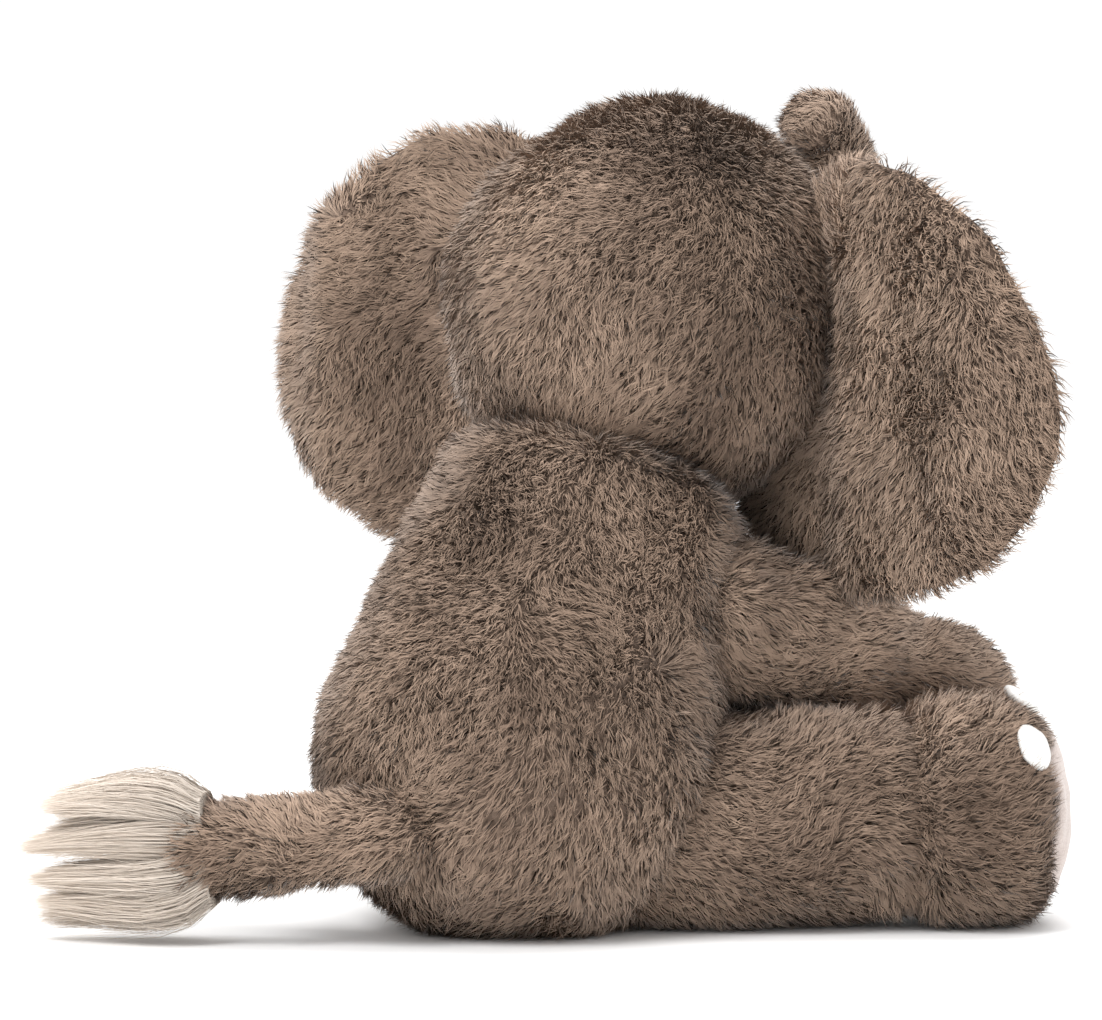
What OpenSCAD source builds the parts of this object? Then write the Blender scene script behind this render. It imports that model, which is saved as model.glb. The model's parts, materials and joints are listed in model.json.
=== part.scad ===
// Stuffed toy elephant, sitting with its legs apart and its trunk raised.
// Millimetres, +Z up. It faces -Y and its own left is +X.
// The origin is the centre of the flat patch that the seat rests on.

/* [Torso] */
// Radius of the round lower torso
belly_r = 71; // [66:0.5:76]
// Height of the lower torso's centre above the seat
belly_z = 62; // [58:0.5:64]
// Forward lean of the torso
lean = 26; // [22:0.5:28]
// Radius of the torso where the neck seam is
neck_r = 50; // [46:0.5:54]
// Distance from the lower torso's centre to the neck seam
neck_s = 116; // [112:0.5:120]

/* [Head] */
// Radius of the round head
head_r = 73.5; // [70:0.5:76]
// Distance from the lower torso's centre to the head's centre
head_s = 173.5; // [170:0.5:178]
// Diameter of an eye
eye_d = 12; // [9:0.5:14]
// Angle of an eye away from the middle of the face
eye_side = 31; // [26:1:36]
// Angle of an eye above the middle of the head
eye_up = 9; // [5:1:14]

/* [Ears] */
// Width of an ear from its seam to its outer edge
ear_w = 107; // [100:1:112]
// Height of an ear
ear_h = 148; // [140:1:152]
// Thickness of a stuffed ear
ear_t = 15; // [13:0.5:17]
// Radius that an ear is cupped to, seen from above
ear_cup = 150; // [130:5:200]
// Angle of the ear seam forward of the head's side
ear_forward = 10; // [6:1:14]
// Angle that an ear is swept back
ear_sweep = 7; // [4:1:10]
// How far the left ear's middle is above the right ear's
ear_offset = 8; // [4:1:12]

/* [Trunk] */
// Radius of the trunk at the face
trunk_root_r = 23; // [20:0.5:25]
// Radius of the trunk just below its tip
trunk_tip_r = 12.5; // [11:0.5:14]
// Radius that the trunk curls to
trunk_curl = 44; // [41:0.5:47]

/* [Arms] */
// Radius of an arm at the shoulder
arm_r = 27; // [25:0.5:28]
// Radius of the hand
hand_r = 21.5; // [20:0.5:23]
// Distance from the shoulder's centre to the hand's centre
arm_len = 100; // [96:0.5:104]

/* [Legs] */
// Radius of a leg
leg_r = 36.5; // [35:0.5:38]
// Radius of a foot
foot_r = 41; // [39:0.5:42]
// Distance from the hip's centre to the ankle seam
ankle_s = 89; // [86:0.5:92]
// Distance from the hip's centre to the end of the foot
foot_s = 138; // [135:0.5:141]
// Angle that a leg points away from straight ahead
leg_splay = 46; // [43:1:49]
// How far the sole bulges past the foot
sole_bulge = 7; // [5:0.5:9]

/* [Tail] */
// Radius of the tail
tail_r = 15; // [13.5:0.5:16]
// Length of the tail from its root to the tuft
tail_len = 72; // [68:1:76]
// Length of the tuft
tuft_len = 58; // [52:1:62]
// Angle that the tail is swung towards the left from straight back
tail_swing = 58; // [50:1:62]

/* [Cloth] */
// Thickness of the pile cloth
pile_t = 2.5; // [2:0.1:3]
// Thickness of the short velour
velour_t = 1.5; // [1:0.1:2]
// Slack between a cover and its filling
slack = 0.5; // [0.4:0.05:0.7]
// Clearance where one soft part moves against another
play = 1.2; // [1:0.1:1.5]

/* [Hidden] */
$fn = 36;

left = 1;
right = -1;
inset = pile_t + slack;
belly_c = [0, 0, belly_z];
head_c = [0, -head_s * sin(lean), belly_z + head_s * cos(lean)];

taupe = [0.51, 0.44, 0.38];
taupe_light = [0.6, 0.53, 0.47];
beige = [0.76, 0.69, 0.66];
cream = [0.8, 0.75, 0.7];
fibre = [0.93, 0.93, 0.9];

wad_r = 14;
wad_t = 10;

eye_r = eye_d / 2;
eye_h = 0.6 * eye_r;
eye_dome_r = (eye_r * eye_r + eye_h * eye_h) / (2 * eye_h);
washer_r = 8;
shank_r = 1.5;
washer_depth = 6;

trunk_c = [head_c[1] - head_r + 2.5, head_c[2] + 31];
trunk_root = [0, trunk_c[0], trunk_c[1] - trunk_curl];
trunk_end = 148;
trunk_rings = 15;
trunk_sides = 20;
trunk_mouth_r = 13;

lip_r = 11;
lip_c = [0, head_c[1] - head_r + 9, trunk_root[2] - trunk_root_r - lip_r];

ear_root_r = 6;
ear_gap = 1;
ear_reach = head_r + ear_root_r + ear_gap;
ear_low = 22;

shoulder = [44, -61, 110];
arm_dir = [0.36, -0.88, -0.32];
arm_mid_dir = [0.2, -0.95, -0.22];
wrist_s = 74;

hip = [37.6, -34, leg_r];
leg_rise = asin((foot_r - leg_r) / foot_s);
leg_open = 20;
leg_mid = leg_splay + leg_open / 2;
leg_mid_dir = [sin(leg_mid), -cos(leg_mid), 0];
foot_round = 14;
nail_w = 19;
nail_t = 1.6;
nail_spread = 48;

tail_root = [0, belly_r - 4, 40];
tail_drop = 6;
tail_mouth_dir = [0, 1, 0];
tail_mouth_s = 14;
tail_neck_r = 11;
tuft_r = 18;
lock_r = 11;
lock_tip_r = 3;
lock_spread = 9;

pouch_r = 24;
pouch_h = 24;
pouch_z = 6;
pouch_back = 22;

// Turns the part of a flat outline that lies right of the Y axis about that axis
module turned() {
    rotate_extrude()
        intersection() {
            children();
            translate([0, -300]) square([300, 600]);
        }
}

// A round-ended limb that tapers from r1 at the origin to r2 at its far end
module limb(r1, r2, len) {
    tilt = asin((r1 - r2) / len);
    turned() {
        union() {
            circle(r1);
            translate([0, len]) circle(r2);
            polygon([
                [0, 0],
                [r1 * cos(tilt), r1 * sin(tilt)],
                [r2 * cos(tilt), len + r2 * sin(tilt)],
                [0, len]]);
        }
    }
}

// Moves its children from the Z axis to the line from a point along a direction
module along(from, dir) {
    len = norm(dir);
    translate(from)
        rotate([0, acos(dir[2] / len), atan2(dir[1], dir[0])])
            children();
}

module sided(side) {
    if (side == left) children();
    else mirror([1, 0, 0]) children();
}

// ---- torso

module torso_solid(shrink) {
    r = belly_r - shrink;
    taper = asin((belly_r - neck_r) / neck_s);
    top_s = neck_s + 8;
    top_r = (r - top_s * sin(taper)) / cos(taper);
    intersection() {
        translate(belly_c)
            rotate([lean, 0, 0])
                turned() {
                    union() {
                        circle(r);
                        polygon([[0, 0], [r * cos(taper), r * sin(taper)], [top_r, top_s], [0, top_s]]);
                    }
                }
        translate([0, 0, 250 + shrink]) cube(500, center = true);
    }
}

module neck_socket() {
    translate(head_c) sphere(head_r + play);
}

module wad_solid(grow) {
    translate(head_c)
        difference() {
            translate([0, 0, -head_r - wad_t - grow]) cylinder(h = head_r, r = wad_r + grow);
            sphere(head_r + play + slack - grow);
        }
}

// Room for a ball-ended limb that swings: one ball at its root and a wider one at the mouth
module socket(from, dir, r, mouth_s, mouth_r) {
    translate(from) sphere(r + play);
    translate(from + mouth_s * dir / norm(dir)) rotate([0, 0, 25]) sphere(mouth_r);
}

module limb_sockets() {
    for (side = [left, right]) sided(side) {
        socket(hip, leg_mid_dir, leg_r, 20, leg_r + 6);
        socket(shoulder, arm_mid_dir, arm_r, 14, arm_r + 4);
    }
    socket(tail_root, tail_mouth_dir, tail_r, tail_mouth_s, tail_r + 9);
}

module torso_cover() {
    color(taupe)
        difference() {
            torso_solid(0);
            torso_solid(pile_t);
            neck_socket();
            limb_sockets();
        }
}

module torso_filling() {
    $fn = 28;
    color(fibre)
        difference() {
            torso_solid(inset);
            neck_socket();
            wad_solid(play);
            limb_sockets();
            pouch_solid(slack);
        }
}

module pouch_solid(grow) {
    translate([0, pouch_back, pouch_z - grow])
        turned() {
            translate([0, pouch_h / 2 + grow])
                hull() {
                    for (side = [left, right])
                        translate([side * (pouch_r - pouch_h / 2), 0]) circle(pouch_h / 2 + grow);
                }
        }
}

module pellet_pouch() {
    color(fibre) pouch_solid(0);
}

module neck_wad() {
    color(fibre) wad_solid(0);
}

// ---- head

// Puts its children at an eye, with Z pointing out of the head
module at_eye(side) {
    translate(head_c)
        rotate([0, 0, side * eye_side])
            rotate([90 - eye_up, 0, 0])
                translate([0, 0, head_r])
                    children();
}

module eye_hole(side) {
    at_eye(side) {
        translate([0, 0, -pile_t - 1]) cylinder(h = pile_t + 4, r = shank_r + 0.1);
        translate([0, 0, -washer_depth - 3]) cylinder(h = washer_depth + 3 - inset, r = washer_r + slack);
    }
}

module trunk_socket() {
    translate(trunk_root) rotate([90, 0, 0]) sphere(trunk_root_r + play);
}

module lip_ball(grow) {
    translate(lip_c) sphere(lip_r + grow);
}

module head_cover() {
    color(taupe)
        difference() {
            translate(head_c) sphere(head_r);
            translate(head_c) sphere(head_r - pile_t);
            trunk_socket();
            lip_ball(slack);
            ear_sockets();
            eye_hole(left);
            eye_hole(right);
        }
}

module head_filling() {
    $fn = 28;
    color(fibre)
        difference() {
            translate(head_c) sphere(head_r - inset);
            trunk_socket();
            lip_ball(slack);
            ear_sockets();
            eye_hole(left);
            eye_hole(right);
        }
}

module lower_lip() {
    color(beige) lip_ball(0);
}

module eye(side) {
    color([0.05, 0.04, 0.04])
        at_eye(side) {
            translate([0, 0, 0.4])
                intersection() {
                    translate([0, 0, eye_h - eye_dome_r]) sphere(eye_dome_r);
                    cylinder(h = eye_h, r = eye_r);
                }
            translate([0, 0, -washer_depth + 0.5]) cylinder(h = washer_depth, r = shank_r);
        }
}

module eye_washer(side) {
    color(fibre)
        at_eye(side)
            translate([0, 0, -washer_depth])
                difference() {
                    cylinder(h = 1.5, r = washer_r);
                    translate([0, 0, -1]) cylinder(h = 4, r = shank_r + 0.05);
                }
}

// ---- trunk

function trunk_angle(t) = t * trunk_end;
function trunk_mid(t) = [
    0,
    trunk_c[0] - trunk_curl * sin(trunk_angle(t)),
    trunk_c[1] - trunk_curl * cos(trunk_angle(t))];
function trunk_radius(t) = trunk_tip_r + (trunk_root_r - trunk_tip_r) * pow(max(1 - t, 0), 1.3);
function trunk_point(t, r, a) =
    let (th = trunk_angle(t))
    trunk_mid(t) + r * [cos(a), -sin(a) * sin(th), -sin(a) * cos(th)];

// The trunk is a ring of points carried along its curl, with a rounded tip
module trunk_solid(shrink) {
    tip = 6;
    start = shrink / 60;
    rings = [
        for (i = [0:trunk_rings])
            let (t = start + (1 - start) * i / trunk_rings)
            [t, trunk_radius(t) - shrink],
        for (i = [1:tip]) [
            1 + (trunk_tip_r - shrink) * 0.55 * sin(i * 84 / tip) / (trunk_curl * trunk_end * PI / 180),
            (trunk_tip_r - shrink) * cos(i * 84 / tip)]];
    n = trunk_sides;
    last = len(rings) - 1;
    points = [for (g = rings) for (k = [0:n - 1]) trunk_point(g[0], g[1], k * 360 / n)];
    sides = [for (i = [0:last - 1]) for (k = [0:n - 1])
        [i * n + k, i * n + (k + 1) % n, (i + 1) * n + (k + 1) % n, (i + 1) * n + k]];
    ends = [[for (k = [0:n - 1]) n - 1 - k], [for (k = [0:n - 1]) last * n + k]];
    polyhedron(points = points, faces = concat(sides, ends), convexity = 4);
}

module trunk_root_ball(shrink) {
    translate(trunk_root) sphere(trunk_root_r - shrink, $fn = 24);
}

// The opening at the back of the trunk's root, which the filling was pushed in through
module trunk_mouth() {
    translate(trunk_root) rotate([-90, 0, 0]) cylinder(h = 2 * trunk_root_r, r = trunk_mouth_r);
}

module trunk_cover() {
    color(taupe_light)
        difference() {
            union() {
                trunk_solid(0);
                trunk_root_ball(0);
            }
            trunk_solid(pile_t);
            trunk_root_ball(pile_t);
            trunk_mouth();
        }
}

module trunk_filling() {
    color(fibre)
        union() {
            trunk_solid(inset);
            trunk_root_ball(inset);
        }
}

// ---- ears

// The ear's outline: X runs outward from the root and Y is up
module ear_outline(shrink) {
    offset(delta = -shrink)
        hull() {
            translate([38, ear_h / 2 - 34]) circle(34);
            translate([58, ear_h / 2 - 52]) circle(38);
            translate([ear_w - 47, -8]) circle(47);
            translate([40, -ear_h / 2 + 36]) circle(36);
            translate([6, 20]) circle(6);
            translate([6, -34]) circle(6);
        }
}

// Puts its children at an ear's seam, with X outward and Y towards the back of the head
module at_ear(side) {
    drop = side * ear_offset / 2 - ear_low;
    translate(head_c + [side * ear_reach * cos(ear_forward), -ear_reach * sin(ear_forward), drop])
        sided(side)
            rotate([0, 0, ear_sweep])
                children();
}

// A layer of the ear between two depths behind its front face, cupped towards the front
module ear_layer(front, back, shrink) {
    mid = ear_w / 2;
    intersection() {
        rotate([90, 0, 0])
            linear_extrude(height = 80, center = true)
                ear_outline(shrink);
        translate([mid, -ear_cup + 9, 0])
            difference() {
                cylinder(h = 2 * ear_h, r = ear_cup + ear_t / 2 - front, center = true);
                cylinder(h = 4 * ear_h, r = ear_cup + ear_t / 2 - back, center = true);
            }
    }
}

module ear_sockets() {
    for (side = [left, right])
        at_ear(side)
            translate([0, 0, -8]) cylinder(h = 90, r = ear_root_r + 4, center = true);
}

module ear_back(side) {
    color(taupe) at_ear(side) ear_layer(0, ear_t * 0.45, 0);
}

module ear_wadding(side) {
    color(fibre) at_ear(side) ear_layer(ear_t * 0.45 + slack, ear_t - velour_t - slack, 4);
}

module ear_lining(side) {
    color(beige) at_ear(side) ear_layer(ear_t - velour_t, ear_t, 2);
}

// ---- arms

module arm_solid(shrink) {
    along(shoulder, arm_dir)
        limb(arm_r - shrink, hand_r - shrink, arm_len);
}

// The part of the arm before the wrist seam, or past it
module arm_part(past) {
    along(shoulder, arm_dir)
        translate([0, 0, past ? wrist_s + 100 : wrist_s - 100])
            cube(200, center = true);
}

module arm_shell() {
    difference() {
        arm_solid(0);
        arm_solid(pile_t);
    }
}

module arm_cover(side) {
    color(taupe) sided(side)
        intersection() {
            arm_shell();
            arm_part(false);
        }
}

module hand_cover(side) {
    color(taupe) sided(side)
        intersection() {
            arm_shell();
            arm_part(true);
        }
}

module arm_filling(side) {
    color(fibre) sided(side) arm_solid(inset);
}

// ---- legs

module at_leg() {
    translate(hip)
        rotate([0, 0, leg_splay])
            rotate([90 - leg_rise, 0, 0])
                children();
}

// A ball-ended leg that widens past the ankle into a foot with a rounded end
module leg_outline(shrink) {
    r = leg_r - shrink;
    f = foot_r - shrink;
    end = foot_s - shrink;
    round_c = [foot_r - foot_round, foot_s - foot_round];
    union() {
        circle(r);
        polygon([
            [0, 0],
            [r, 0],
            [r, ankle_s],
            [f, ankle_s + 10],
            [f, round_c[1]],
            [round_c[0], end],
            [0, end]]);
        translate(round_c) circle(foot_round - shrink);
    }
}

module leg_solid(shrink) {
    at_leg() turned() leg_outline(shrink);
}

module leg_part(past) {
    at_leg()
        translate([0, 0, past ? ankle_s + 100 : ankle_s - 100])
            cube(200, center = true);
}

module leg_shell() {
    difference() {
        leg_solid(0);
        leg_solid(pile_t);
    }
}

module leg_cover(side) {
    color(taupe) sided(side)
        intersection() {
            leg_shell();
            leg_part(false);
        }
}

module foot_cover(side) {
    color(taupe) sided(side)
        difference() {
            intersection() {
                leg_shell();
                leg_part(true);
            }
            nail_row(slack);
        }
}

// The sole is a shallow dome sewn on the end of the foot
module sole_pad(side) {
    pad_r = foot_r - foot_round + 6;
    dome_r = (pad_r * pad_r + sole_bulge * sole_bulge) / (2 * sole_bulge);
    color(beige) sided(side)
        at_leg()
            translate([0, 0, foot_s + slack])
                intersection() {
                    translate([0, 0, sole_bulge - dome_r]) sphere(dome_r);
                    cylinder(h = sole_bulge + 1, r = pad_r);
                }
}

module nail_row(grow) {
    for (i = [-1:1])
        at_leg()
            rotate([0, 0, i * nail_spread + 180])
                translate([0, -foot_r + 3.2, foot_s - 4])
                    rotate([-52, 0, 0])
                        nail_disc(grow);
}

// A padded half-round nail
module nail_disc(grow) {
    intersection() {
        translate([0, 0, nail_t - 24]) sphere(24 + grow);
        translate([0, 0, -1.4]) cylinder(h = 8, r = nail_w / 2 + grow);
        translate([0, 40 - nail_w / 2, 0]) cube(80 + 2 * grow, center = true);
    }
}

module toenails(side) {
    color("white") sided(side) nail_row(0);
}

module leg_filling(side) {
    color(fibre) sided(side)
        difference() {
            leg_solid(inset);
            nail_row(slack);
        }
}

// ---- tail

module at_tail() {
    along(tail_root, [sin(tail_swing) * cos(tail_drop), cos(tail_swing) * cos(tail_drop), -sin(tail_drop)])
        children();
}

// A ball-ended tail with a slim neck and a flat far end
module tail_solid(shrink) {
    r = tail_r - shrink;
    n = tail_neck_r - shrink;
    end = tail_len - shrink;
    at_tail()
        turned() {
            union() {
                circle(r);
                polygon([[0, 0], [n, 0], [n, 18], [r, 32], [r, end - 5], [r - 2, end], [0, end]]);
            }
        }
}

module tail_cover() {
    color(taupe)
        difference() {
            tail_solid(0);
            tail_solid(pile_t);
        }
}

module tail_filling() {
    color(fibre) tail_solid(inset);
}

// Locks of long pile that spread from the end of the tail
module tail_tuft() {
    $fn = 16;
    color(cream)
        at_tail()
            translate([0, 0, tail_len + slack])
                intersection() {
                    for (a = [45:90:315])
                        rotate([0, 0, a])
                            translate([5, 0, 0])
                                rotate([0, lock_spread, 0])
                                    translate([0, 0, lock_r])
                                        limb(lock_r, lock_tip_r, tuft_len - lock_r - lock_tip_r);
                    cylinder(h = 2 * tuft_len, r = 3 * tuft_r);
                }
}

torso_cover();
torso_filling();
pellet_pouch();
neck_wad();
head_cover();
head_filling();
lower_lip();
eye(left);  // eye_left
eye(right);  // eye_right
eye_washer(left);  // eye_washer_left
eye_washer(right);  // eye_washer_right
trunk_cover();
trunk_filling();
ear_back(left);  // ear_back_left
ear_lining(left);  // ear_lining_left
ear_wadding(left);  // ear_wadding_left
ear_back(right);  // ear_back_right
ear_lining(right);  // ear_lining_right
ear_wadding(right);  // ear_wadding_right
arm_cover(left);  // arm_cover_left
hand_cover(left);  // hand_cover_left
arm_filling(left);  // arm_filling_left
arm_cover(right);  // arm_cover_right
hand_cover(right);  // hand_cover_right
arm_filling(right);  // arm_filling_right
leg_cover(left);  // leg_cover_left
foot_cover(left);  // foot_cover_left
sole_pad(left);  // sole_pad_left
toenails(left);  // toenails_left
leg_filling(left);  // leg_filling_left
leg_cover(right);  // leg_cover_right
foot_cover(right);  // foot_cover_right
sole_pad(right);  // sole_pad_right
toenails(right);  // toenails_right
leg_filling(right);  // leg_filling_right
tail_cover();
tail_filling();
tail_tuft();
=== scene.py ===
"""Stuffed elephant, seen from behind.

Stuffed cloth skins ride on the frame's bodies, each covered in real strands of pile.
"""

import json
import math

import bpy
import numpy as np
from mathutils import Matrix, Vector


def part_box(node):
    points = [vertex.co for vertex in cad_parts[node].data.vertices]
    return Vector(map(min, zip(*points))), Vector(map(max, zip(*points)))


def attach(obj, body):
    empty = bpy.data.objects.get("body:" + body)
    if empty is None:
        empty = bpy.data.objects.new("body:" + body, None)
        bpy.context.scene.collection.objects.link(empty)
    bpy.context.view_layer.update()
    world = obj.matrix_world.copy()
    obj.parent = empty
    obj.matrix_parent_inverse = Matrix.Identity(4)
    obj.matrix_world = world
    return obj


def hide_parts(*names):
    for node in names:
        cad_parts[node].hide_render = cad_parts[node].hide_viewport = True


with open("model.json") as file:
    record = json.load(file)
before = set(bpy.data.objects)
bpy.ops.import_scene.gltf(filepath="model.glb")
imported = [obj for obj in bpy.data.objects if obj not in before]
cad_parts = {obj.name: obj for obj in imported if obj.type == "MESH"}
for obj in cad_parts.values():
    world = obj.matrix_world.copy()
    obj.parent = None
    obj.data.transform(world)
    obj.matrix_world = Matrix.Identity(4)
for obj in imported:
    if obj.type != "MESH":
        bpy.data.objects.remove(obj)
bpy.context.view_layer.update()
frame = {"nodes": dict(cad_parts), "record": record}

MM = 0.001
LEFT, RIGHT = 1, -1
SIDES = {"left": LEFT, "right": RIGHT}
UP = np.array([0.0, 0.0, 1.0])

# ---- driving sizes, in millimetres

PILE = 6.6  # length of the body's pile
SKIN_IN = 1.8  # the cloth lies this far inside the frame's covers, so the pile's tips end just past them
THIN_IN = 1.6  # the same, on the trunk and the tail
STRAND_W = 0.46
STRANDS_PER_MM2 = 1.9
WIDER = 1.0
CLUMP = 2.0  # side of the cells whose strands gather into one clump
CLUMP_PULL = 0.32  # how far a strand's tip goes towards its clump's middle
RISE = 0.62  # sine of the angle at which a strand stands off the cloth
CELL_HASH = (73856093, 19349663, 83492791)  # large primes, one for each axis
PIECE_LIMIT = 60000  # strands in one mesh
TONE_MAP = "OFBake"  # the UV map that holds each strand's tone and the place along it

JOINTS = {j["name"]: np.array(j["pos_m"]) / MM for j in frame["record"]["behaviour"]["joints"]}
HEAD = JOINTS["head_nod"]
TRUNK_ROOT = JOINTS["trunk_lift"]
TAIL_ROOT = JOINTS["tail_swing"]


def node_box(name):
    low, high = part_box(name)
    return np.array(low) / MM, np.array(high) / MM


head_low, head_high = node_box("head_cover")
HEAD_R = (head_high[2] - head_low[2]) / 2 - SKIN_IN
BELLY_R = 71.0 - SKIN_IN
BELLY = np.array([0.0, 0.0, 62.0])
LEAN = math.atan2(BELLY[1] - HEAD[1], HEAD[2] - BELLY[2])
AXIS = np.array([0.0, -math.sin(LEAN), math.cos(LEAN)])
TAPER = 0.165  # how fast the torso narrows above the belly
CONE_FROM = math.radians(9.4)  # the torso is a ball up to this angle, and a cone above it
NECK_S = 113.0  # where the torso's skin ends, along its axis from the belly's middle
NECK_CLOSING = 24  # how far the skin draws in at the neck
PILE_TOP_S = 100  # the head hides the torso above this, so other pile may reach into it
FLOOR_GAP = 1.6


# ---- small vector helpers

def unit(v):
    v = np.asarray(v, float)
    return v / np.maximum(np.linalg.norm(v, axis=-1, keepdims=True), 1e-9)


def wave_field(points, wavelength, seed):
    """A smooth random field of about unit size, made of sines in random directions."""
    rng = np.random.default_rng(seed)
    k = unit(rng.normal(size=(18, 3))) * (2 * math.pi / wavelength) * rng.uniform(0.6, 1.5, (18, 1))
    phase = rng.uniform(0, 2 * math.pi, 18)
    return np.sin(points @ k.T + phase).sum(axis=1) / 3.0


def bump(x, centre, width):
    return np.exp(-(((x - centre) / width) ** 2))


def near(points, centre, size):
    """1 at a place on the body, falling to 0 around it."""
    d = np.linalg.norm((points - np.asarray(centre, float)) / np.asarray(size, float), axis=1)
    return np.exp(-d * d)


# ---- meshes

def add_object(name, data):
    obj = bpy.data.objects.new(name, data)
    bpy.context.scene.collection.objects.link(obj)
    return obj


def mesh_object(name, verts, faces, material):
    mesh = bpy.data.meshes.new(name)
    mesh.from_pydata((verts * MM).tolist(), [], faces)
    mesh.update()
    mesh.materials.append(material)
    mesh.shade_smooth()
    return add_object(name, mesh)


def ring_faces(n, sides):
    """Quads between n rings of vertices, then the fans round the two poles that follow them in the list."""
    faces = []
    for i in range(n - 1):
        for k in range(sides):
            m = (k + 1) % sides
            faces.append((i * sides + k, i * sides + m, (i + 1) * sides + m, (i + 1) * sides + k))
    for k in range(sides):
        m = (k + 1) % sides
        faces.append((n * sides, m, k))
        faces.append((n * sides + 1, (n - 1) * sides + k, (n - 1) * sides + m))
    return faces


def tube(rings, sides, side_axis):
    """A closed skin with two poles, through (centre, tangent, radius a, radius b) rings."""
    angle = np.arange(sides) * 2 * math.pi / sides
    verts = []
    for centre, tangent, ra, rb in rings:
        a = unit(side_axis)
        b = unit(np.cross(tangent, a))
        verts.append(centre + ra * np.cos(angle)[:, None] * a + rb * np.sin(angle)[:, None] * b)
    verts = np.concatenate(verts + [rings[0][0][None], rings[-1][0][None]])
    return verts, ring_faces(len(rings), sides)


def vertex_normals(verts, faces):
    tris = np.array([(f[0], f[i], f[i + 1]) for f in faces for i in range(1, len(f) - 1)])
    n = np.cross(verts[tris[:, 1]] - verts[tris[:, 0]], verts[tris[:, 2]] - verts[tris[:, 0]])
    out = np.zeros_like(verts)
    for c in range(3):
        np.add.at(out, tris[:, c], n)
    return unit(out), tris


def settle(verts):
    """Flattens the cloth softly on the floor, as the toy's weight does."""
    soft = 3.0
    verts[:, 2] = FLOOR_GAP + soft * np.logaddexp(0, (verts[:, 2] - FLOOR_GAP) / soft)
    return verts


# ---- pile

def strands(name, roots, normals, lean_to, length, shade, material, body, seed):
    """Real tapered strands, each a ribbon of three triangles, in small clumps and laid along the nap."""
    rng = np.random.default_rng(seed)
    n = len(roots)
    cell = np.floor((roots + rng.normal(0, CLUMP * 0.16, (n, 3))) / CLUMP).astype(np.int64)
    key = cell[:, 0] * CELL_HASH[0] ^ cell[:, 1] * CELL_HASH[1] ^ cell[:, 2] * CELL_HASH[2]
    _, group = np.unique(key, return_inverse=True)
    group = group.ravel()
    count = np.bincount(group)
    middle = np.stack([np.bincount(group, roots[:, c]) / count for c in range(3)], axis=1)
    groups = len(count)

    lay = lean_to - (lean_to * normals).sum(axis=1, keepdims=True) * normals
    lay = unit(lay + 0.001)
    turn = rng.normal(0, 0.38, groups)[group] + rng.normal(0, 0.2, n)
    across = np.cross(normals, lay)
    lay = lay * np.cos(turn)[:, None] + across * np.sin(turn)[:, None]
    rise = np.clip(RISE + rng.normal(0, 0.13, groups)[group] + rng.normal(0, 0.08, n), 0.25, 1.0)[:, None]
    flat = np.sqrt(np.maximum(1 - rise**2, 0.02))
    long = length * (1 + rng.normal(0, 0.14, groups)[group] + rng.normal(0, 0.12, n))
    long = np.maximum(long, 0.4 * length)[:, None]

    tip = roots + long * (normals * rise + lay * flat)
    heart = middle[group] + long * (normals * rise + lay * flat)
    tip += CLUMP_PULL * (heart - tip)
    mid = roots + 0.5 * long * (normals * np.minimum(rise + 0.15, 1) + lay * flat * 0.7)
    mid += 0.35 * CLUMP_PULL * (middle[group] - roots)
    for part in (mid, tip):
        part[:, 2] = np.maximum(part[:, 2], 0.25 + 0.35 * rng.random(n))

    direction = unit(tip - roots)
    side = unit(np.cross(direction, normals + rng.normal(0, 0.7, (n, 3))))
    w = STRAND_W * WIDER * rng.uniform(0.8, 1.2, (n, 1)) / 2
    corners = [roots - side * w, roots + side * w, mid - side * w * 0.8, mid + side * w * 0.8, tip]
    verts = np.stack(corners, axis=1)
    tri = np.array([[0, 1, 3], [0, 3, 2], [2, 3, 4]])
    level = np.array([0.02, 0.02, 0.5, 0.5, 0.98])
    tone = np.clip(shade + rng.normal(0, 0.05, groups)[group] + rng.normal(0, 0.05, n), 0.02, 0.98)

    for part, start in enumerate(range(0, n, PIECE_LIMIT)):
        take = slice(start, start + PIECE_LIMIT)
        shading = normals[take] + 0.25 * direction[take]
        piece(f"{name}_{part}", verts[take], tri, level, tone[take], shading, material, body)


def strand_faces(verts, tri):
    """The triangles of every strand, where tri lists those of one."""
    n, per = verts.shape[:2]
    return (np.arange(n)[:, None, None] * per + tri[None]).reshape(-1, 3)


def map_tones(mesh, tone, tri, level):
    """Writes each strand's tone and the place along it into a UV map."""
    layer = mesh.uv_layers.new(name=TONE_MAP)
    along = np.tile(level[tri.reshape(-1)], len(tone))
    uv = np.stack([np.repeat(tone, tri.size), along], axis=1).astype(np.float32)
    layer.data.foreach_set("uv", uv.reshape(-1))


def piece(name, verts, tri, level, tone, shading, material, body):
    """One mesh of strands, shaded mostly as the cloth under them."""
    n, per = verts.shape[:2]
    mesh = bpy.data.meshes.new(name)
    faces = strand_faces(verts, tri)
    mesh.vertices.add(n * per)
    mesh.vertices.foreach_set("co", (verts.reshape(-1) * MM).astype(np.float32))
    mesh.loops.add(faces.size)
    mesh.loops.foreach_set("vertex_index", faces.reshape(-1).astype(np.int32))
    mesh.polygons.add(len(faces))
    mesh.polygons.foreach_set("loop_start", (np.arange(len(faces)) * 3).astype(np.int32))
    mesh.update()
    map_tones(mesh, tone, tri, level)
    mesh.shade_smooth()
    soft = unit(np.repeat(shading, per, axis=0))
    mesh.normals_split_custom_set_from_vertices(soft.tolist())
    mesh.materials.append(material)
    obj = add_object(name, mesh)
    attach(obj, body)


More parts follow.
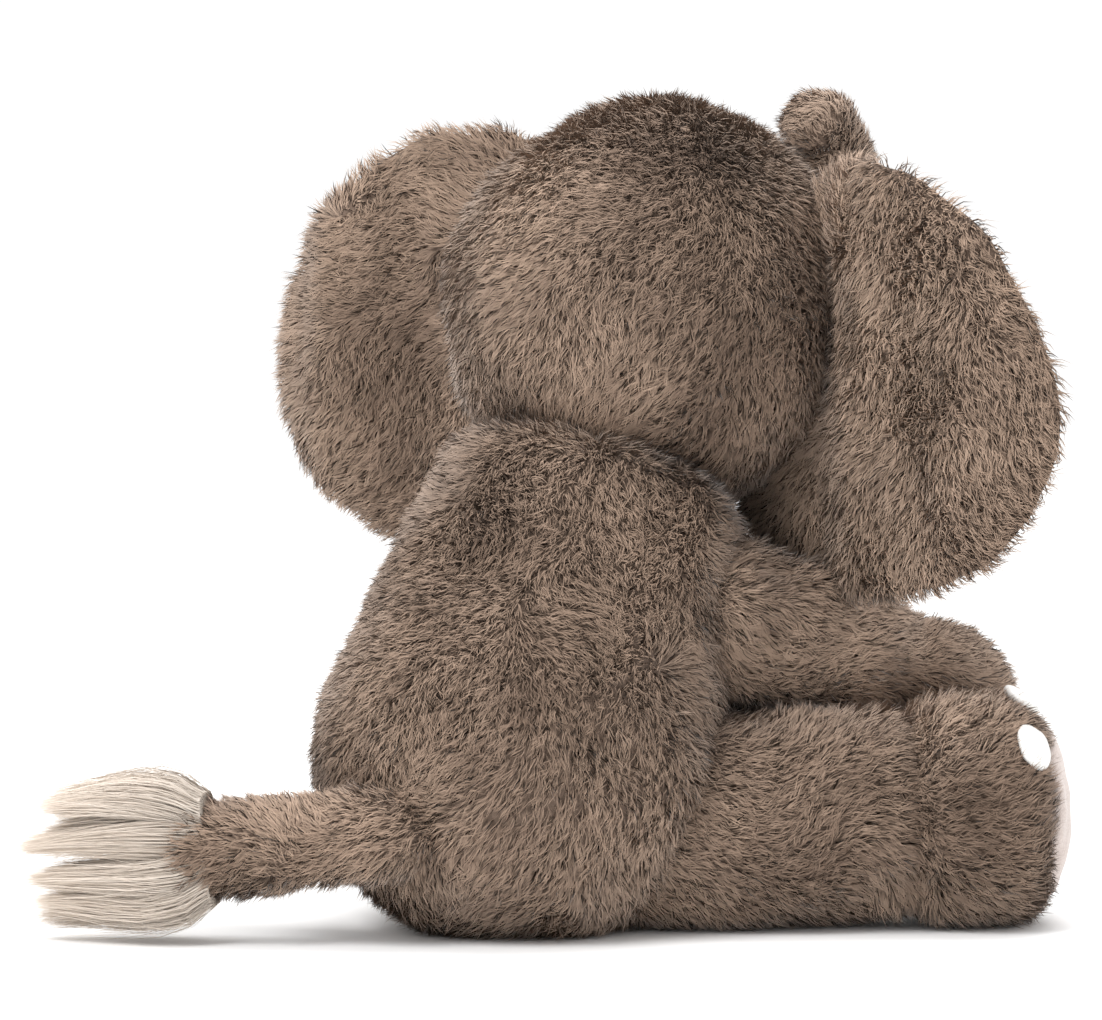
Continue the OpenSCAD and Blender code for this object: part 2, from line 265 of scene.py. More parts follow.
def scatter(verts, tris, normals, per_mm2, seed):
    """Random points over a skin, with their smooth normals."""
    rng = np.random.default_rng(seed)
    a, b, c = verts[tris[:, 0]], verts[tris[:, 1]], verts[tris[:, 2]]
    area = np.linalg.norm(np.cross(b - a, c - a), axis=1) / 2
    n = int(area.sum() * per_mm2)
    pick = rng.choice(len(tris), n, p=area / area.sum())
    r1, r2 = np.sqrt(rng.random(n)), rng.random(n)
    w = np.stack([1 - r1, r1 * (1 - r2), r1 * r2], axis=1)
    points = (verts[tris[pick]] * w[:, :, None]).sum(axis=1)
    return points, unit((normals[tris[pick]] * w[:, :, None]).sum(axis=1))


def in_torso(p, margin):
    rel = p - BELLY
    s = rel @ AXIS
    off = np.linalg.norm(rel - s[:, None] * AXIS, axis=1)
    ball = np.linalg.norm(rel, axis=1) < BELLY_R - margin
    cone = (s > 0) & (s < PILE_TOP_S) & (off < BELLY_R - TAPER * s - margin)
    return ball | cone


def in_head(p, margin):
    return np.linalg.norm(p - HEAD, axis=1) < HEAD_R - margin


def tones(points):
    """The pile's tone: broad soft patches at random, and painted shade: darker spots on the head, the back,
    the left ear and the feet, where the brushed pile looks dark in the light.
    """
    tone = 0.55 + 0.08 * wave_field(points, 70, 11) + 0.05 * wave_field(points, 26, 12)
    # painted shade: the spots below darken the pile where its nap looks dark in the light
    tone -= 0.30 * near(points, HEAD + [-22, 18, 58], [34, 34, 34])
    tone -= 0.26 * near(points, [-8, 22, 150], [30, 34, 34])
    tone -= 0.10 * near(points, [-30, 30, 105], [28, 30, 40])
    tone -= 0.42 * near(points, JOINTS["ear_left_flap"] + [34, 18, -8], [16, 16, 42])
    for side in SIDES.values():
        tone -= 0.34 * near(points, [side * 136, -80, 36], [27, 27, 25])
    return tone


def coat(name, verts, faces, material, body, nap, seed, keep, length=PILE, tone_shift=0.0):
    """Covers a skin in pile that lies along the nap, where keep says so."""
    normals, tris = vertex_normals(verts, faces)
    roots, out = scatter(verts, tris, normals, STRANDS_PER_MM2, seed)
    hold = keep(roots, out)
    roots, out = roots[hold], out[hold]
    swirl = np.stack([wave_field(roots, 60, seed + c) for c in (1, 2, 3)], axis=1)
    lay = nap(roots) + 0.45 * swirl
    strands(name, roots, out, lay, length, tones(roots) + tone_shift, material, body, seed + 9)


# ---- materials

def new_material(name):
    mat = bpy.data.materials.new(name)
    mat.use_nodes = True
    nodes, links = mat.node_tree.nodes, mat.node_tree.links
    return mat, nodes, links, nodes["Principled BSDF"]


def colour_ramp(nodes, links, source, low, high, start=0.0, stop=1.0):
    """A ramp from one colour to another, driven by a value."""
    ramp = nodes.new("ShaderNodeValToRGB")
    for element, position, colour in zip(ramp.color_ramp.elements, (start, stop), (low, high)):
        element.position = position
        element.color = (*colour, 1)
    links.new(source, ramp.inputs[0])
    return ramp.outputs[0]


MIX_A, MIX_B, MIX_RESULT = 6, 7, 2  # the colour sockets of a Mix node


def pile_material(name, dark, light, painted_root_shade=0.7):
    """Strand colour: each strand has its own tone and is paler at the tip, and painted shade darkens it
    towards the root, deep in the pile.
    """
    mat, nodes, links, shader = new_material(name)
    uv = nodes.new("ShaderNodeUVMap")
    uv.uv_map = TONE_MAP
    split = nodes.new("ShaderNodeSeparateXYZ")
    links.new(uv.outputs[0], split.inputs[0])
    tone = nodes.new("ShaderNodeMix")
    tone.data_type = "RGBA"
    tone.inputs[MIX_A].default_value = (*dark, 1)
    tone.inputs[MIX_B].default_value = (*light, 1)
    links.new(split.outputs[0], tone.inputs[0])
    # painted shade: the ramp darkens each strand towards its root
    along = colour_ramp(nodes, links, split.outputs[1], [painted_root_shade] * 3, (1, 1, 1), stop=0.85)
    mix = nodes.new("ShaderNodeMix")
    mix.data_type = "RGBA"
    mix.blend_type = "MULTIPLY"
    mix.inputs[0].default_value = 1.0
    links.new(tone.outputs[MIX_RESULT], mix.inputs[MIX_A])
    links.new(along, mix.inputs[MIX_B])
    links.new(mix.outputs[MIX_RESULT], shader.inputs["Base Color"])
    shader.inputs["Roughness"].default_value = 0.7
    shader.inputs["Specular IOR Level"].default_value = 0.25
    shader.inputs["Sheen Weight"].default_value = 0.2
    shader.inputs["Sheen Roughness"].default_value = 0.5
    return mat


def cloth_material(name, low, high, scale, roughness=0.9, sheen=0.3):
    """Woven or short-pile cloth: a fine mottle and a matching bump."""
    mat, nodes, links, shader = new_material(name)
    place = nodes.new("ShaderNodeTexCoord")
    noise = nodes.new("ShaderNodeTexNoise")
    noise.inputs["Scale"].default_value = scale
    noise.inputs["Detail"].default_value = 6
    links.new(place.outputs["Object"], noise.inputs["Vector"])
    mottle = colour_ramp(nodes, links, noise.outputs["Fac"], low, high, 0.3, 0.7)
    links.new(mottle, shader.inputs["Base Color"])
    height = nodes.new("ShaderNodeBump")
    height.inputs["Strength"].default_value = 0.3
    height.inputs["Distance"].default_value = 0.0006
    links.new(noise.outputs["Fac"], height.inputs["Height"])
    links.new(height.outputs[0], shader.inputs["Normal"])
    shader.inputs["Roughness"].default_value = roughness
    shader.inputs["Sheen Weight"].default_value = sheen
    return mat


def gloss_material(name, colour):
    mat, nodes, links, shader = new_material(name)
    noise = nodes.new("ShaderNodeTexNoise")
    noise.inputs["Scale"].default_value = 300
    gloss = colour_ramp(nodes, links, noise.outputs["Fac"], colour, [1.6 * c for c in colour])
    links.new(gloss, shader.inputs["Base Color"])
    shader.inputs["Roughness"].default_value = 0.08
    shader.inputs["Coat Weight"].default_value = 0.6
    return mat


pile = pile_material("taupe_pile", (0.145, 0.093, 0.064), (0.54, 0.385, 0.285))
pale_pile = pile_material("trunk_pile", (0.21, 0.145, 0.105), (0.60, 0.44, 0.335))
tuft_pile = pile_material("cream_pile", (0.50, 0.41, 0.33), (0.84, 0.75, 0.66), painted_root_shade=0.75)
# painted shade: the backing cloth is real, but its dark brown stands in for the shade deep in the pile, seen
# between the strands
shaded_backing = cloth_material("painted_shade_backing", (0.115, 0.076, 0.054), (0.18, 0.122, 0.088), 900)
velour = cloth_material("beige_velour", (0.47, 0.39, 0.36), (0.62, 0.54, 0.50), 1400)
satin = cloth_material("white_satin", (0.70, 0.69, 0.66), (0.84, 0.83, 0.81), 500, 0.35, 0.0)
wadding = cloth_material("white_fibre", (0.7, 0.7, 0.68), (0.85, 0.85, 0.83), 200)
eye_black = gloss_material("eye_black", (0.010, 0.007, 0.006))


def skin(name, verts, faces, body, nodes, material=shaded_backing):
    obj = mesh_object(name, verts, faces, material)
    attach(obj, body)
    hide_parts(*nodes)
    return obj


def lumps(verts, faces, amount, seed, wavelength=34):
    """The unevenness of hand stuffing."""
    normals, _ = vertex_normals(verts, faces)
    return verts + normals * (amount * wave_field(verts, wavelength, seed))[:, None]


# ---- torso

def torso():
    rings = []
    s0, r0 = BELLY_R * math.sin(CONE_FROM), BELLY_R * math.cos(CONE_FROM)
    for i in range(1, 110):
        t = i / 110
        if t < 0.5:
            a = math.radians(-90 + (90 + math.degrees(CONE_FROM)) * t / 0.5)
            s, r = BELLY_R * math.sin(a), BELLY_R * math.cos(a)
        else:
            u = (t - 0.5) / 0.5
            s = s0 + (NECK_S - s0) * u
            r = r0 - TAPER * (s - s0)
            r -= NECK_CLOSING * max(0, (u - 0.83) / 0.17) ** 2.4
        rings.append((BELLY + AXIS * s, AXIS, r, r))
    verts, faces = tube(rings, 140, (1, 0, 0))
    verts = settle(lumps(verts, faces, 0.8, 21))
    skin("torso_skin", verts, faces, "torso", ["torso_cover", "torso_filling"])
    down = -AXIS

    def nap(p):
        return down + 0.25 * unit(p - BELLY) * [1, 1, 0]

    coat("torso_fur", verts, faces, pile, "torso", nap, 100, keep=lambda p, n: ~in_head(p, 1.0))


# ---- head

def head():
    rings = []
    for i in range(1, 100):
        a = math.pi * i / 100
        rings.append((HEAD + UP * HEAD_R * -math.cos(a), UP, HEAD_R * math.sin(a), HEAD_R * math.sin(a)))
    verts, faces = tube(rings, 140, (1, 0, 0))
    rel = unit(verts - HEAD)
    brow = unit([0, -0.6, 0.8])
    verts = HEAD + (verts - HEAD) * (1 + 0.035 * np.exp(-((1 - rel @ brow) / 0.25) ** 2))[:, None]
    verts = lumps(verts, faces, 0.8, 31, 44)
    skin("head_skin", verts, faces, "head", ["head_cover", "head_filling"])
    crown = HEAD + np.array([0, -30, 75])
    eyes = [sum(node_box(f"eye_{s}")) / 2 for s in SIDES]

    def nap(p):
        away = p - crown
        return away / 60 + np.array([0, 0.2, -0.3])

    def keep(p, n):
        clear = np.ones(len(p), bool)
        for e in eyes:
            clear &= np.linalg.norm(p - e, axis=1) > 8.5
        clear &= np.linalg.norm(p - TRUNK_ROOT, axis=1) > 17
        return clear & ~in_torso(p, 4.0)

    coat("head_fur", verts, faces, pile, "head", nap, 200, keep=keep)


# ---- trunk

TRUNK_CURL = 44.0  # radius of the curl
TRUNK_END = 148.0  # degrees from the root to the tip
TRUNK_TIP_R = 12.5
TRUNK_SWELL = 10.5  # how much thicker the root is than the tip


def trunk():
    centre = TRUNK_ROOT + UP * TRUNK_CURL

    def on_curl(a):
        return centre + TRUNK_CURL * np.array([0, -math.sin(a), -math.cos(a)])

    rings = []
    n = 70
    for i in range(1, n):
        t = -0.14 + 1.22 * i / n
        a = math.radians(TRUNK_END * min(t, 1.04))
        tangent = np.array([0, -math.cos(a), math.sin(a)])
        r = TRUNK_TIP_R + TRUNK_SWELL * max(1 - max(t, 0), 0) ** 1.3 - THIN_IN
        if t > 0.96:
            r *= math.sqrt(max(1 - ((t - 0.96) / 0.125) ** 2, 0.01))
        if t < 0:
            r *= math.sqrt(max(1 - (t / -0.15) ** 2, 0.01))
        r *= 1 + 0.03 * math.sin(t * 60)
        rings.append((on_curl(a), tangent, r * 1.04, r))
    verts, faces = tube(rings, 72, (1, 0, 0))
    notch = near(verts, on_curl(math.radians(TRUNK_END)) + [0, 4, 12], [5, 8, 6])
    verts[:, 2] -= 5.0 * notch
    verts = lumps(verts, faces, 0.5, 41, 20)
    skin("trunk_skin", verts, faces, "trunk", ["trunk_cover", "trunk_filling"])

    def nap(p):
        return unit(np.cross(np.array([1.0, 0, 0]), p - centre)) * -1

    coat("trunk_fur", verts, faces, pale_pile, "trunk", nap, 300, length=PILE * 0.72,
         keep=lambda p, n: ~in_head(p, 2.0))


def lip():
    low, high = node_box("lower_lip")
    mid, r = (low + high) / 2, (high - low) / 2
    rings = []
    for i in range(1, 40):
        a = math.pi * i / 40
        side = np.array([-math.cos(a), 0, 0]) * r[0] * 1.25
        rings.append((mid + side, np.array([1.0, 0, 0]), r[1] * math.sin(a) * 0.95, r[2] * math.sin(a) * 0.7))
    verts, faces = tube(rings, 48, (0, 1, 0))
    skin("lip_skin", verts, faces, "head", ["lower_lip"], velour)


# ---- ears

EAR_OUTLINE = [  # (out from the hinge, up from the ear's middle)
    (-22, 44), (-24, 62), (-12, 75), (12, 80), (38, 77), (66, 62), (88, 36), (101, 4), (99, -24), (84, -49),
    (58, -65), (28, -71), (0, -73), (-26, -70), (-48, -62), (-60, -46), (-46, -28), (-27, -10), (-17, 8),
    (-16, 26)]
EAR_T = 12.0  # thickness


def closed_spline(points, count):
    """Catmull-Rom curve through a closed ring of points."""
    p = np.array(points, float)
    n = len(p)
    out = []
    for x in np.linspace(0, n, count, endpoint=False):
        i, t = int(x), x - int(x)
        a, b, c, d = p[(i - 1) % n], p[i % n], p[(i + 1) % n], p[(i + 2) % n]
        square, cube = 2 * a - 5 * b + 4 * c - d, 3 * b - a - 3 * c + d
        out.append(0.5 * (2 * b + (c - a) * t + square * t * t + cube * t**3))
    return np.array(out)


def ear(word):
    side = SIDES[word]
    hollow = 6.0 if side == LEFT else 1.5
    low, high = node_box(f"ear_back_{word}")
    hinge = JOINTS[f"ear_{word}_flap"]
    drop = (low[2] + high[2]) / 2
    edge = closed_spline(EAR_OUTLINE, 160)
    middle = np.array([48.0, 0.0])
    steps = 44
    sweep = math.radians(7)
    out_dir = np.array([side * math.cos(sweep), math.sin(sweep), 0.0])
    back_dir = np.array([-side * math.sin(sweep), math.cos(sweep), 0.0])
    origin = np.array([hinge[0], hinge[1], drop])

    def place(uv, w):
        cup = 7.5 - (np.maximum(uv[:, 0], -10) - 53) ** 2 / 300
        return origin + uv[:, :1] * out_dir + uv[:, 1:] * UP + (cup + w)[:, None] * back_dir

    def relief(u, q, face):
        """How far a face of the ear stands off its middle: a stuffed edge, a soft ridge and a hollow."""
        bulge = face * EAR_T / 2 * max(1 - q**3.2, 0) ** 0.5
        tall, deep = (4.5, hollow) if face == 1 else (2.5, 4.0)
        return bulge + (1 - q**4) * (tall * bump(u, 70, 15) - deep * bump(u, 36, 17))

    rho = np.sin(np.linspace(0, 1, steps) * math.pi / 2)
    grid = []
    for face, values in ((1, rho[1:]), (-1, rho[::-1][1:-1])):
        for q in values:
            uv = middle + (edge - middle) * q
            grid.append(place(uv, relief(uv[:, 0], q, face)))
    top = place(middle[None], relief(middle[:1], 0.0, 1))
    bottom = place(middle[None], relief(middle[:1], 0.0, -1))
    count, rows = len(edge), len(grid)
    verts = np.concatenate(grid + [top, bottom])
    faces = ring_faces(rows, count)
    if side == LEFT:
        faces = [tuple(reversed(f)) for f in faces]
    verts = lumps(verts, faces, 0.7, 51 + side, 30)
    obj = skin(f"ear_{word}_skin", verts, faces, f"ear_{word}",
               [f"ear_back_{word}", f"ear_lining_{word}", f"ear_wadding_{word}"])
    obj.data.materials.append(velour)
    front = (rows // 2) + 3  # the lining starts three rings in from the edge
    lining = np.zeros(len(faces), np.int32)
    lining[front * count:(rows - 1) * count] = 1
    lining[(rows - 1) * count + 1::2] = 1
    obj.data.polygons.foreach_set("material_index", lining)
    root = place(np.array([[0.0, 20.0]]), np.zeros(1))[0]

    def nap(p):
        return unit(p - root) * 0.7 + np.array([0, 0, -0.5])

    def keep(p, n):
        return ((n @ back_dir) > -0.35) & ~in_head(p, -1.0) & ~in_torso(p, 3.0)

    coat(f"ear_{word}_fur", verts, faces, pile, f"ear_{word}", nap, 400 + side * 7, keep=keep,
         tone_shift=0.10)


# ---- limbs

def limb_rings(start, direction, profile, steps):
    """Rings along a straight limb whose radius follows a profile of (distance, radius) points."""
    d = unit(direction)
    s = np.array([p[0] for p in profile], float)
    r = np.array([p[1] for p in profile], float)
    # an even arc length gives the round ends enough rings
    fine = np.linspace(s[0], s[-1], 4000)
    rad = np.interp(fine, s, r)
    arc = np.concatenate([[0], np.cumsum(np.hypot(np.diff(fine), np.diff(rad)))])
    at = np.interp(np.linspace(0, arc[-1], steps + 2)[1:-1], arc, fine)
    radius = np.interp(at, s, r)
    return [(start + d * a, d, b, b) for a, b in zip(at, radius)]


ROUND_STEPS = 14


def round_end(centre, radius, flip):
    """Profile points of a round end."""
    out = []
    for i in range(ROUND_STEPS + 1):
        a = math.pi / 2 * i / ROUND_STEPS
        out.append((centre + (-1 if flip else 1) * radius * math.cos(a), radius * math.sin(a)))
    return out if flip else out[::-1]


ARM_DIR = np.array([0.36, -0.88, -0.32])
ARM_LEN = 100.0
ARM_R = 27.0 - SKIN_IN + 0.5
HAND_R = 21.5 - SKIN_IN + 0.8
WRIST = 74.0


def arm(word):
    side = SIDES[word]
    start = JOINTS[f"arm_{word}_swing"]
    direction = unit(ARM_DIR * [side, 1, 1])
    profile = round_end(0, ARM_R, True)
    profile += [(30, ARM_R + 1.5), (55, ARM_R - 1.0), (WRIST - 6, HAND_R + 0.8), (WRIST, HAND_R - 1.4),
                (WRIST + 7, HAND_R + 0.8), (ARM_LEN - 6, HAND_R + 0.6)]
    profile += round_end(ARM_LEN, HAND_R, False)
    verts, faces = tube(limb_rings(start, direction, profile, 90), 90, np.cross(direction, UP))
    verts = lumps(verts, faces, 0.8, 61 + side, 26)
    skin(f"arm_{word}_skin", verts, faces, f"arm_{word}",
         [f"arm_cover_{word}", f"hand_cover_{word}", f"arm_filling_{word}"])
    coat(f"arm_{word}_fur", verts, faces, pile, f"arm_{word}", lambda p: direction, 500 + side * 7,
         keep=lambda p, n: ~in_torso(p, 3.0), tone_shift=0.13)


LEG_R = 36.5 - SKIN_IN + 0.6
FOOT_R = 41.0 - SKIN_IN + 0.3
ANKLE = 89.0
FOOT_END = 138.0 - 2.0
LEG_SPLAY = math.radians(46)
LEG_RISE = math.asin(4.5 / 138.0)
PAD_R = 31.0


def leg(word):
    side = SIDES[word]
    start = JOINTS[f"leg_{word}_splay"]
    direction = unit([side * math.sin(LEG_SPLAY), -math.cos(LEG_SPLAY), math.tan(LEG_RISE)])
    across = unit(np.cross(direction, UP))
    over = np.cross(across, direction)
    rim = 13.0
    profile = round_end(0, LEG_R, True)
    profile += [(20, LEG_R + 1.5), (55, LEG_R + 1.2), (ANKLE - 7, LEG_R - 0.4), (ANKLE - 1, LEG_R - 3.0),
                (ANKLE + 2, LEG_R - 2.4), (ANKLE + 8, FOOT_R - 1.5), (ANKLE + 16, FOOT_R),
                (FOOT_END - rim, FOOT_R)]
    profile += [(FOOT_END - rim + rim * math.sin(a), FOOT_R - rim + rim * math.cos(a))
                for a in np.linspace(0.1, math.pi / 2, 12)]
    profile += [(FOOT_END + 0.5, 4.0), (FOOT_END + 0.6, 0.5)]
    verts, faces = tube(limb_rings(start, direction, profile, 130), 110, across)
    rel = verts - start
    s = rel @ direction
    turn = np.arctan2(rel @ over, rel @ across)
    pucker = 1 - 0.018 * np.sin(turn * 9 + 1.0) * (bump(s, ANKLE, 12) + bump(s, 18, 16))
    axis_point = start + s[:, None] * direction
    verts = axis_point + (verts - axis_point) * pucker[:, None]
    verts = settle(lumps(verts, faces, 0.8, 71 + side, 30))
    skin(f"leg_{word}_skin", verts, faces, f"leg_{word}",
         [f"leg_cover_{word}", f"foot_cover_{word}", f"leg_filling_{word}"])
    end = start + direction * FOOT_END
    nails = nail_centres(start, direction, across, over)

    def keep(p, n):
        sole = ((p - end) @ direction > -1.2) & (n @ direction > 0.8)
        off = np.linalg.norm(p - end - ((p - end) @ direction)[:, None] * direction, axis=1)
        clear = ~(sole & (off < PAD_R - 2))
        for c in nails:
            clear &= np.linalg.norm(p - c, axis=1) > 8.0
        return clear & ~in_torso(p, 3.0)

    nap = direction + np.array([0, 0, -0.2])
    coat(f"leg_{word}_fur", verts, faces, pile, f"leg_{word}", lambda p: nap, 600 + side * 7, keep=keep)
    sole(word, end, direction, across, over)
    toenails(word, nails, start, direction)


def sole(word, end, direction, across, over):
    """The padded velour sole, a shallow dome with a puckered rim."""
    rings = []
    under_steps, dome_steps = 14, 46
    for i in range(1, under_steps + dome_steps):
        if i < under_steps:
            a = i / under_steps * math.pi / 2
            off, r = -3 + 3.5 * math.sin(a), PAD_R * math.sin(a)
        else:
            a = (i - under_steps) / dome_steps * math.pi / 2
            off, r = 0.5 + 10.5 * math.sin(a) ** 0.8, max(PAD_R * math.cos(a), 0.4)
        rings.append((end + direction * off, direction, r, r))
    verts, faces = tube(rings, 120, across)
    rel = verts - end
    turn = np.arctan2(rel @ over, rel @ across)
    off = np.hypot(rel @ over, rel @ across)
    ripple = 0.5 * np.sin(turn * 21) * bump(off, PAD_R, 5)
    verts = verts + direction * ripple[:, None]
    verts = lumps(verts, faces, 0.35, 81, 14)
    skin(f"sole_{word}", verts, faces, f"leg_{word}", [f"sole_pad_{word}"], velour)


def nail_centres(start, direction, across, over):
    """Three nails spread over the top of the foot's front rim."""
    out = []
    for turn in (-48, 0, 48):
        a = math.radians(turn)
        around = over * math.cos(a) + across * math.sin(a)
        out.append(start + direction * (FOOT_END - 6.5) + around * (FOOT_R - 2.8))
    return out


def toenails(word, centres, start, direction):
    verts_all, faces_all, base = [], [], 0
    for centre in centres:
        s = (centre - start) @ direction
        radial = unit(centre - start - s * direction)
        out = unit(radial * 0.8 + direction * 0.75)
        wide = unit(np.cross(direction, radial))
        tall = np.cross(wide, out)
        rings = []
        for i in range(1, 26):
            a = math.pi * i / 26
            round_off = math.sin(a) ** 0.6
            rings.append((centre + out * (-math.cos(a) * 2.6 + 3.4), out, 9.5 * round_off, 8.0 * round_off))
        verts, faces = tube(rings, 56, wide)
        rel = verts - centre
        verts = verts + out * (0.35 * np.sin((rel @ wide) * 0.9) * bump(rel @ tall, 0, 6))[:, None]
        verts = verts - radial * (((rel @ wide) ** 2) * 0.012)[:, None]
        verts_all.append(verts)
        faces_all += [tuple(x + base for x in f) for f in faces]
        base += len(verts)
    skin(f"toenails_{word}_satin", np.concatenate(verts_all), faces_all, f"leg_{word}", [f"toenails_{word}"],
         satin)


# ---- tail

TAIL_SWING = math.radians(58)
TAIL_DROP = math.radians(6)
TAIL_R = 15.0 - THIN_IN
TAIL_LEN = 72.0
TUFT_LEN = 60.0


def tail():
    flat = math.cos(TAIL_DROP)
    direction = np.array([math.sin(TAIL_SWING) * flat, math.cos(TAIL_SWING) * flat, -math.sin(TAIL_DROP)])
    across = unit(np.cross(direction, UP))
    profile = round_end(0, TAIL_R, True) + [(20, TAIL_R - 0.8), (45, TAIL_R), (TAIL_LEN - 4, TAIL_R + 1.2)]
    profile += round_end(TAIL_LEN - 4, TAIL_R + 1.2, False)[:-3]
    profile = sorted(set(profile))
    verts, faces = tube(limb_rings(TAIL_ROOT, direction, profile, 60), 70, across)
    verts = lumps(verts, faces, 0.6, 91, 22)
    skin("tail_skin", verts, faces, "tail", ["tail_cover", "tail_filling"])
    end = TAIL_ROOT + direction * TAIL_LEN

    def keep(p, n):
        return ~in_torso(p, 3.0) & ((p - end) @ direction < 2)

    coat("tail_fur", verts, faces, pile, "tail", lambda p: direction, 700, keep=keep)
    tuft(end, direction, across)


LOCKS = {  # height of the root, height of the tip, share of the tuft's length
    "high": (13.0, 20.0, 0.98),
    "upper": (5.0, 9.0, 1.06),
    "lower": (-5.0, -3.0, 1.03),
    "low": (-12.0, -13.0, 1.0),
}
LOCK_COPIES = (-9.0, 0.0, 9.0)  # each lock again, this far to the side
STRANDS_PER_LOCK = 1500
TUFT_STRAND_W = 0.32
TUFT_STEPS = np.array([0.0, 0.2, 0.4, 0.6, 0.8, 1.0])


def lock_strands(end, direction, across, over, root_up, tip_up, shift, reach, count, rng):
    """The line of every strand in one pointed lock, which swells out of the tail and bends in to its point.

    Also gives the way that each strand faces.
    """
    spread, turn = np.sqrt(rng.random(count)) * 8.5, rng.random(count) * 2 * math.pi
    a, b = spread * np.cos(turn), spread * np.sin(turn)
    root = end - direction * 7 + across * (a + shift * 0.6)[:, None] + over * (b * 0.8 + root_up)[:, None]
    long = reach * TUFT_LEN * (1 - 0.5 * rng.random(count) ** 1.4)
    loose = rng.normal(0, 1.2, count) * (1 + 2.5 * (rng.random(count) > 0.85))
    short = 1 - long / (reach * TUFT_LEN)
    tip_a = shift * 0.6 + (0.08 + short) * a + loose
    tip_b = tip_up + (0.12 + 0.9 * short) * b + 0.7 * loose[::-1]
    tip = end + direction * long[:, None] + across * tip_a[:, None] + over * tip_b[:, None]
    swell = across * (0.45 * a + 0.5 * shift)[:, None] + over * (0.5 * b + 0.62 * root_up)[:, None]
    bow = rng.uniform(0.45, 1.35, (count, 1))
    line = []
    for t in TUFT_STEPS:
        p = root * (1 - t) + tip * t + swell * (3.0 * t * (1 - t) ** 1.4 * bow)
        p += over * (0.7 * np.sin(t * 6 + turn))[:, None] + across * (0.8 * np.sin(t * 5 + 2 * turn))[:, None]
        p[:, 2] = np.maximum(p[:, 2], 0.4)
        line.append(p)
    out = across * (a + 0.6 * shift)[:, None] + over * (b + 0.6 * root_up)[:, None]
    return np.stack(line, axis=1), unit(out)


def tuft(end, direction, across):
    """Long cream pile in pointed locks that fan out from the end of the tail."""
    rng = np.random.default_rng(77)
    over = np.cross(across, direction)
    over = over if over[2] > 0 else -over
    count = STRANDS_PER_LOCK
    lines, outs, shades = [], [], []
    for root_up, tip_up, reach in LOCKS.values():
        for shift in LOCK_COPIES:
            wander, stretch = rng.normal(0, 2.6), reach * rng.uniform(0.82, 1.06)
            line, out = lock_strands(end, direction, across, over, root_up, tip_up + wander, shift, stretch,
                                     count, rng)
            lines.append(line)
            outs.append(out)
            shades.append(np.clip(0.6 + 0.16 * rng.normal() + rng.normal(0, 0.16, count), 0.02, 0.98))
    line, out, tone = np.concatenate(lines), np.concatenate(outs), np.concatenate(shades)
    n, last = len(line), len(TUFT_STEPS) - 1
    side = unit(np.cross(direction, out + 0.45 * rng.normal(size=(n, 3))))
    width = TUFT_STRAND_W * rng.uniform(0.7, 1.2, (n, 1)) * WIDER
    columns = []
    for k, t in enumerate(TUFT_STEPS[:-1]):
        w = side * width * (1 - 0.8 * t) / 2
        columns += [line[:, k] - w, line[:, k] + w]
    columns.append(line[:, last])
    verts = np.stack(columns, axis=1)
    tri = []
    for k in range(last - 1):
        tri += [[2 * k, 2 * k + 1, 2 * k + 3], [2 * k, 2 * k + 3, 2 * k + 2]]
    tri = np.array(tri + [[2 * last - 2, 2 * last - 1, 2 * last]])
    level = np.append(np.repeat(TUFT_STEPS[:-1], 2) * 0.96 + 0.02, 0.98)
    mesh = bpy.data.meshes.new("tuft_strands")
    mesh.from_pydata((verts.reshape(-1, 3) * MM).tolist(), [], strand_faces(verts, tri).tolist())
    map_tones(mesh, tone, tri, level)
    mesh.shade_smooth()
    mesh.materials.append(tuft_pile)
    obj = add_object("tuft_strands", mesh)
    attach(obj, "tail")
    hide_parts("tail_tuft")


# ---- frame pieces that stay

def paint_frame():
    # painted shade: the neck's wadding takes the dark backing, so the gap between head and torso shows as
    # shade
    paints = {"eye_left": eye_black, "eye_right": eye_black, "neck_wad": shaded_backing}
    for name, obj in frame["nodes"].items():
        obj.data.materials.clear()
        obj.data.materials.append(paints.get(name, wadding))


# ---- studio

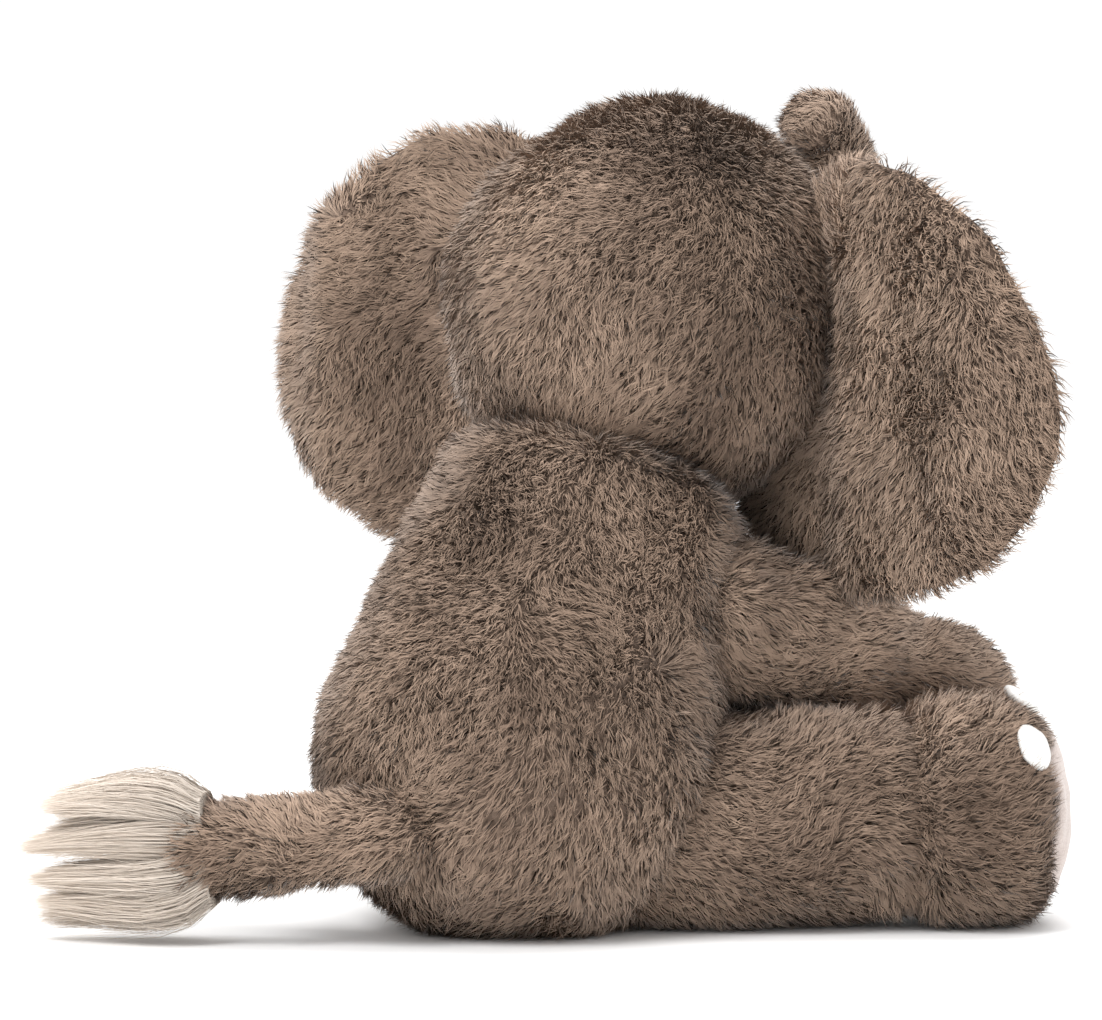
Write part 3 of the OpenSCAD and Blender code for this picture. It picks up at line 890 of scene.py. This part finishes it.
AZIMUTH, ELEVATION = math.radians(220), math.radians(4.5)
DISTANCE = 2.4
VIEW_W = 0.3923  # width of what the picture shows, at the object
AIM_RIGHT, AIM_UP = 12.1, 149.5  # the middle of the picture
FLOOR_HALF = 12.0  # half the floor's side, in metres


def studio():
    flat = math.cos(ELEVATION)
    to_camera = np.array([math.sin(AZIMUTH) * flat, -math.cos(AZIMUTH) * flat, math.sin(ELEVATION)])
    right = np.array([math.cos(AZIMUTH), math.sin(AZIMUTH), 0])
    aim = right * AIM_RIGHT * MM + UP * AIM_UP * MM
    data = bpy.data.cameras.new("camera")
    data.sensor_width = 36.0
    data.lens = data.sensor_width * DISTANCE / VIEW_W
    camera = add_object("camera", data)
    camera.location = aim + to_camera * DISTANCE
    up = np.cross(to_camera, right)
    camera.rotation_euler = Matrix(np.stack([right, up, to_camera], axis=1).tolist()).to_euler()
    bpy.context.scene.camera = camera

    white, *_, shader = new_material("studio_floor")
    shader.inputs["Base Color"].default_value = (0.97, 0.97, 0.97, 1)
    shader.inputs["Roughness"].default_value = 0.9
    mesh = bpy.data.meshes.new("floor")
    corners = [(x * FLOOR_HALF, y * FLOOR_HALF, 0) for x, y in ((-1, -1), (1, -1), (1, 1), (-1, 1))]
    mesh.from_pydata(corners, [], [(0, 1, 2, 3)])
    mesh.materials.append(white)
    floor = add_object("floor", mesh)

    world = bpy.data.worlds.new("studio")
    world.use_nodes = True
    world.node_tree.nodes["Background"].inputs[0].default_value = (1, 1, 1, 1)
    world.node_tree.nodes["Background"].inputs[1].default_value = 1.06
    bpy.context.scene.world = world

    def area(name, where, size, power):
        light = bpy.data.lights.new(name, "AREA")
        light.shape = "DISK"
        light.size = size
        light.energy = power
        obj = add_object(name, light)
        spot = aim + (right * where[0] + to_camera * where[1] + UP * where[2])
        obj.location = spot
        away = unit(spot - aim)
        obj.rotation_euler = Vector(away.tolist()).to_track_quat("Z", "Y").to_euler()

    area("key", (-0.9, 1.1, 1.3), 0.9, 26)
    area("top", (0.2, -0.2, 1.6), 1.2, 16)
    bpy.context.scene.view_settings.view_transform = "Standard"


torso()
head()
trunk()
lip()
for word in SIDES:
    ear(word)
    arm(word)
    leg(word)
tail()
paint_frame()
studio()
